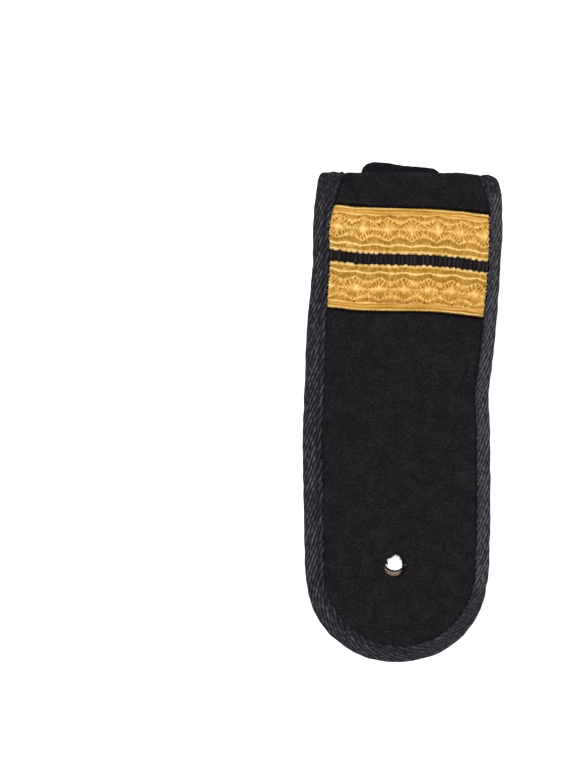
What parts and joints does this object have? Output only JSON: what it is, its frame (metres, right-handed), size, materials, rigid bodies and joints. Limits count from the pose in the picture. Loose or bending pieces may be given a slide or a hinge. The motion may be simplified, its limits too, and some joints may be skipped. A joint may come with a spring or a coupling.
{
  "type": "shoulder board",
  "caption": "Flat shoulder board of dark cloth over card, bound in twill tape, with gold rank braid across one end, a button hole near the round end and a cloth strap beneath.",
  "frame": {"origin": "on the surface it lies on, under the middle of the whole part's box", "axes": "+Z out of the face, +Y along the board from the round end to the folded end, +X to the right as seen from above"},
  "size_m": [0.0532, 0.1326, 0.0054],
  "materials": {
    "cover_cloth": "matt milled wool, blue-black",
    "card": "bare tan pulp card",
    "twill_tape": "herring twill tape, charcoal",
    "gold_braid": "woven gold silk braid, satin",
    "black_rib": "black corded ribbon",
    "strap_cloth": "matt wool cloth, blue-black"
  },
  "bodies": {
    "root": {"cloth_cover": "cover_cloth", "stiffener": "card", "edge_binding": "twill_tape", "upper_bar": "gold_braid", "centre_rib": "black_rib", "lower_bar": "gold_braid", "under_strap": "strap_cloth"}
  },
  "joints": []
}
